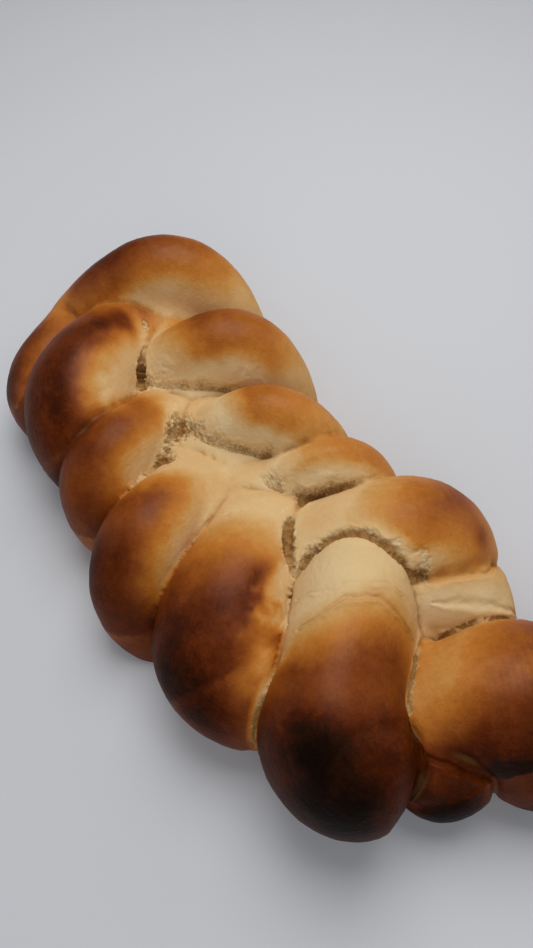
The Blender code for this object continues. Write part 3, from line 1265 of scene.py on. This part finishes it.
@dataclass(frozen=True)
class CrustFinish:
    """Egg-washed bread crust with its pale skin and torn crumb, and painted shade along the seams between
    lobes and down in the tears.

    tones: the skin's colour at each degree of browning.
    tone_span: the browning that the last tone stands for.
    """

    tones: tuple[tuple[float, Colour], ...] = (
        (0.00, linear(232, 206, 159)),
        (0.12, linear(225, 192, 140)),
        (0.25, linear(216, 172, 114)),
        (0.40, linear(205, 147, 76)),
        (0.52, linear(193, 121, 47)),
        (0.65, linear(169, 97, 32)),
        (0.78, linear(137, 69, 21)),
        (0.90, linear(104, 45, 11)),
        (1.02, linear(71, 26, 5)),
        (1.15, linear(42, 17, 5)),
        (1.30, linear(20, 8, 3)),
    )
    tone_span: float = 1.3
    crumb_light: Colour = linear(234, 206, 156)
    # Dark crumb colour: partly the crumb's own darker fibres, partly painted shade down in the tears and
    # seams.
    crumb_dark_and_shade: Colour = linear(174, 130, 76)
    # Painted shade: the dark colour laid along the seams between lobes.
    crease_shade_colour: Colour = linear(130, 90, 48)
    roughness: float = 0.46
    crumb_roughness: float = 0.85
    specular: float = 0.05
    coat: float = 0.18
    coat_roughness: float = 0.34

    def build(self) -> bpy.types.Material:
        """Makes the material."""
        graph = Graph("bread_crust")
        place = graph.place()
        brown = graph.painted("brown")
        crumb = graph.painted("crumb")
        crease = graph.painted("crease")
        blotch = graph.speckle(place, 16.0, 4.0)
        mottle = graph.speckle(place, 3.5, 5.0)
        speck = graph.speckle(place, 0.9, 3.0)
        strand = graph.joined(graph.painted("along") / 5.0, graph.painted("around") / 1.1, 0.0)
        stretch = graph.speckle(strand, 1000.0, 4.0)
        uneven = blotch * 0.18 + mottle * 0.12 + speck * 0.1 + stretch * 0.06
        share = graph.fade(brown, -0.1, 0.35) + graph.fade(brown, 0.85, 1.15) * 1.1
        # The crease term darkens the skin along the seams as painted shade.
        tone = brown + uneven * share + crease * 0.1
        skin = graph.ramp(tone / self.tone_span, self._stops())
        fibre = graph.speckle(place, 1.2, 6.0, 0.7)
        # The crumb is painted darker down in the tears and in the seams as shade, and it varies with the
        # fibres.
        deep = graph.fade(fibre + crease * 0.3 + graph.painted("depth") * 0.3, 0.45, 0.0)
        crumb_colour = graph.mix(deep, self.crumb_dark_and_shade, self.crumb_light)
        torn = graph.fade(crumb + mottle * 0.5, 0.42, 0.78)
        colour = graph.mix(torn, skin, crumb_colour)
        # Painted shade: the seams between lobes are mixed towards a dark colour that stands for shade.
        colour = graph.mix(graph.fade(crease, 0.35, 1.2) * 0.5 * (1 - torn), colour, self.crease_shade_colour)
        gloss = graph.fade(brown, 0.2, 0.6) * (1 - torn)
        shader = graph.shader
        graph.feed(shader, "Base Color", colour)
        rough = self.crumb_roughness - gloss * (self.crumb_roughness - self.roughness) - mottle * 0.1
        graph.feed(shader, "Roughness", rough)
        graph.feed(shader, "Specular IOR Level", self.specular)
        graph.feed(shader, "Coat Weight", gloss * graph.fade(brown, 1.1, 0.7) * self.coat)
        graph.feed(shader, "Coat Roughness", self.coat_roughness)
        fine = graph.speckle(place, 0.5, 4.0)
        grainy = graph.speckle(place, 2.2, 3.0)
        height = fine * 0.3 + grainy * 0.9 + stretch * 0.3 + torn * fibre * 1.8
        graph.feed(shader, "Normal", graph.bump(height, 0.4))
        return graph.material

    def _stops(self) -> tuple[tuple[float, Colour], ...]:
        """The tones, spread from 0 to 1."""
        return tuple((position / self.tone_span, colour) for position, colour in self.tones)


@dataclass(frozen=True)
class FloorFinish:
    """Plain matte white paper."""

    colour: Colour = linear(212, 214, 219)
    roughness: float = 0.7

    def build(self) -> bpy.types.Material:
        """Makes the material."""
        graph = Graph("pale_floor")
        place = graph.place()
        cloud = graph.fade(graph.speckle(place, 400.0, 1.0), -0.4, 0.4)
        colour = graph.mix(cloud, self.colour, tuple(0.97 * part for part in self.colour))
        graph.feed(graph.shader, "Base Color", colour)
        graph.feed(graph.shader, "Roughness", self.roughness)
        return graph.material


@dataclass(frozen=True)
class View:
    """The camera, in the braid's frame: degrees and millimetres.

    focal: focal length in pixels of the photograph's frame.
    """

    azimuth: float = 53.7
    elevation: float = 59.7
    distance: float = 364.0
    target: tuple[float, float, float] = (-1.2, 17.4, 28.8)
    roll: float = -0.6
    focal: float = 713.0
    sensor: float = 36.0

    def build(self, shift: Vector) -> None:
        """Makes the scene's camera, moved by shift in millimetres."""
        azimuth = math.radians(self.azimuth)
        elevation = math.radians(self.elevation)
        flat = math.cos(elevation)
        back = Vector((math.sin(azimuth) * flat, -math.cos(azimuth) * flat, math.sin(elevation)))
        right = (-back).cross(Vector((0, 0, 1))).normalized()
        up = right.cross(-back)
        roll = math.radians(self.roll)
        turned_right = right * math.cos(roll) + up * math.sin(roll)
        turned_up = up * math.cos(roll) - right * math.sin(roll)
        data = bpy.data.cameras.new("camera")
        data.sensor_width = self.sensor
        data.lens = self.focal / max(IMAGE_SIZE) * self.sensor
        data.clip_start = 0.01
        made = bpy.data.objects.new("camera", data)
        place = (Vector(self.target) + back * self.distance + shift) * MM
        axes = Matrix((turned_right, turned_up, back)).transposed().to_4x4()
        made.matrix_world = Matrix.Translation(place) @ axes
        bpy.context.scene.collection.objects.link(made)
        bpy.context.scene.camera = made


@dataclass(frozen=True)
class Lamp:
    """A square soft light that faces the loaf.

    place: where it stands, in metres.
    size: how wide it is, in metres.
    power: how strong it is, in watts.
    spread: how far it shines to the sides, in degrees.
    mirrored: whether the crust's gloss shows it.
    """

    name: str
    place: tuple[float, float, float]
    size: float
    power: float
    colour: Colour = (1.0, 1.0, 1.0)
    spread: float = 180.0
    mirrored: bool = True

    def build(self) -> None:
        """Makes the light, turned to the loaf."""
        data = bpy.data.lights.new(self.name, "AREA")
        data.shape = "SQUARE"
        data.size = self.size
        data.energy = self.power
        data.color = self.colour
        data.spread = math.radians(self.spread)
        made = bpy.data.objects.new(self.name, data)
        place = Vector(self.place)
        turned = place.to_track_quat("Z", "Y").to_matrix().to_4x4()
        made.matrix_world = Matrix.Translation(place) @ turned
        made.visible_glossy = self.mirrored
        bpy.context.scene.collection.objects.link(made)


@dataclass(frozen=True)
class Studio:
    """A plain pale floor and soft light."""

    floor_size: float = 6.0
    ambient: float = 0.11
    ambient_colour: Colour = (0.93, 0.96, 1.0)
    lamps: tuple[Lamp, ...] = (
        Lamp("key", (-0.32, 0.3, 0.95), 0.8, 4.0, (1.0, 0.99, 0.97), 130.0),
        Lamp("front", (0.62, -0.45, 0.72), 1.0, 3.0, (0.99, 0.99, 1.0), 180.0, False),
        Lamp("right_wall", (0.2, 1.3, 0.6), 1.0, 2.8, (1.0, 0.99, 0.98)),
        Lamp("left_wall", (-0.9, -1.0, 0.6), 1.0, 1.8, (0.9, 0.94, 1.0)),
    )
    finish: FloorFinish = FloorFinish()

    def build(self) -> None:
        """Makes the floor, the surrounding light and the lamps."""
        mesh = bmesh.new()
        bmesh.ops.create_grid(mesh, x_segments=2, y_segments=2, size=self.floor_size / 2)
        data = bpy.data.meshes.new("floor")
        mesh.to_mesh(data)
        mesh.free()
        data.materials.append(self.finish.build())
        floor = bpy.data.objects.new("floor", data)
        bpy.context.scene.collection.objects.link(floor)
        world = bpy.data.worlds.new("soft_room")
        world.use_nodes = True
        background = world.node_tree.nodes["Background"]
        background.inputs["Color"].default_value = (*self.ambient_colour, 1.0)
        background.inputs["Strength"].default_value = self.ambient
        bpy.context.scene.world = world
        bpy.context.scene.view_settings.view_transform = "Standard"
        for lamp in self.lamps:
            lamp.build()


def main() -> None:
    """Builds the loaf and its surroundings."""
    logging.basicConfig(level=logging.INFO, format="%(message)s")
    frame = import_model()
    log.info("frame: %s", ", ".join(sorted(frame["nodes"])))
    low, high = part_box("loaf")
    crust, shift = Loaf().build(low, high)
    crust.data.materials.append(CrustFinish().build())
    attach(crust, "root")
    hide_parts("loaf")
    Studio().build()
    View().build(shift)
    log.info("studio and camera: shift %.2f %.2f mm", shift.x, shift.y)


if __name__ == "__main__":
    main()
